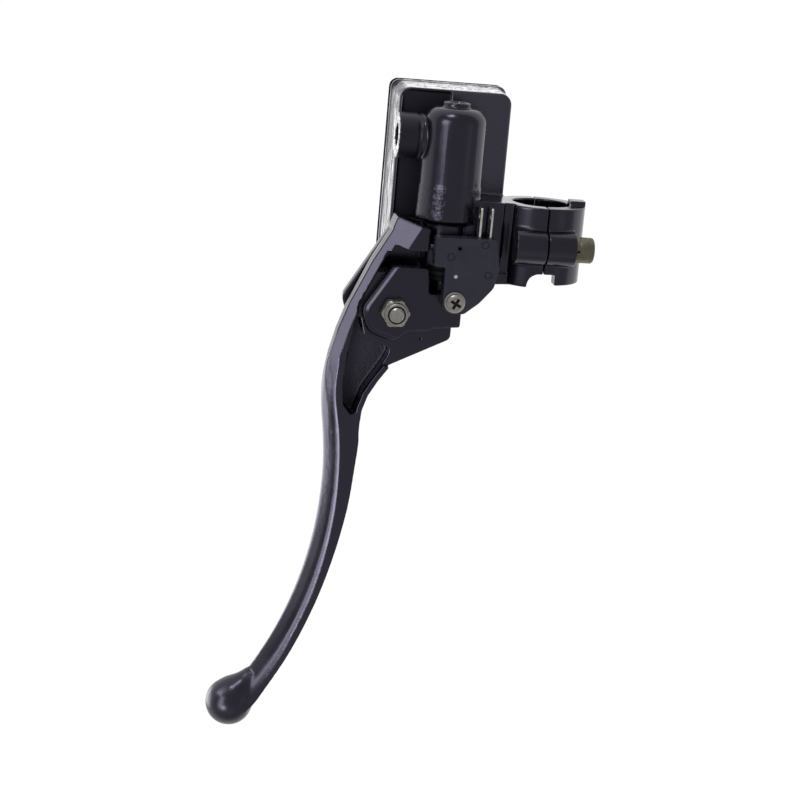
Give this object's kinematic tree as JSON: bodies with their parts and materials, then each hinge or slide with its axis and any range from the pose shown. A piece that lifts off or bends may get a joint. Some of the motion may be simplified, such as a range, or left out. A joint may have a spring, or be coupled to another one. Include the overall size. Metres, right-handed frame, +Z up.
{
  "type": "hydraulic front brake master cylinder with lever",
  "caption": "Handlebar-mounted hydraulic brake master cylinder with a rectangular fluid reservoir, split bar clamp, brake light switch and a ball-ended hand lever.",
  "frame": {"origin": "centre of the handlebar clamp's bore, on the bar's axis and in the middle of the clamp's length", "axes": "+X along the bar, outboard towards the lever's ball end; +Y forward, away from the rider; +Z up towards the reservoir's lid"},
  "size_m": [0.2625, 0.137, 0.0616],
  "materials": {
    "gloss_black_paint": "gloss black paint",
    "zinc_steel": "zinc plated, dulled",
    "yellow_zinc_steel": "yellow zinc plated, dulled",
    "spring_steel": "bare spring steel",
    "black_plastic": "moulded, matt",
    "black_rubber": "matt",
    "piston_aluminium": "turned, dark hard anodised",
    "sintered_bronze": "sintered, matt",
    "tinned_brass": "tin plated",
    "clear_window": "polished"
  },
  "bodies": {
    "base": {"master_cylinder_body": "gloss_black_paint", "clamp_cap": "gloss_black_paint", "clamp_bolt_lower": "yellow_zinc_steel", "clamp_bolt_upper": "yellow_zinc_steel", "clamp_washer_lower": "yellow_zinc_steel", "clamp_washer_upper": "yellow_zinc_steel", "port_guard": "spring_steel", "sight_glass": "clear_window", "sight_glass_seal": "black_rubber", "circlip": "spring_steel", "dust_boot": "black_rubber", "return_spring": "spring_steel", "pivot_bolt": "zinc_steel", "pivot_nut": "zinc_steel", "switch_case": "black_plastic", "switch_cover": "black_plastic", "switch_terminal_front": "tinned_brass", "switch_terminal_rear": "tinned_brass", "switch_screw": "zinc_steel", "switch_washer": "zinc_steel", "switch_spring": "spring_steel"},
    "lever": {"brake_lever": "gloss_black_paint", "pivot_bush": "sintered_bronze"},
    "piston": {"piston": "piston_aluminium", "primary_cup": "black_rubber", "secondary_cup": "black_rubber"},
    "plunger": {"switch_plunger": "black_plastic"},
    "cover": {"reservoir_lid": "gloss_black_paint", "lid_screw_inboard": "zinc_steel", "lid_screw_outboard": "zinc_steel", "reservoir_diaphragm": "black_rubber", "diaphragm_set_plate": "black_plastic"}
  },
  "joints": [
    {"name": "lever_pivot", "type": "hinge", "parent": "base", "child": "lever", "pos_m": [0.029, 0.056, -0.002], "axis": [0, 0, -1], "range_deg": [0, 24], "stiffness_Nm_per_rad": 0.6, "springref_deg": -28.65},
    {"name": "piston_slide", "type": "slide", "parent": "base", "child": "piston", "axis": [-1, 0, 0], "range_m": [0, 0.008], "deforming": ["return_spring", "dust_boot"]},
    {"name": "switch_plunger_slide", "type": "slide", "parent": "base", "child": "plunger", "axis": [0, 1, 0], "range_m": [0, 0.0026], "deforming": ["switch_spring"]},
    {"name": "cover_lift", "type": "slide", "parent": "base", "child": "cover", "axis": [0, 0, 1], "range_m": [0, 0.02]}
  ],
  "couplings": [
    {"joint": "piston_slide", "follows": "lever_pivot", "m_per_rad": 0.019},
    {"joint": "switch_plunger_slide", "follows": "lever_pivot", "m_per_rad": 0.006}
  ]
}
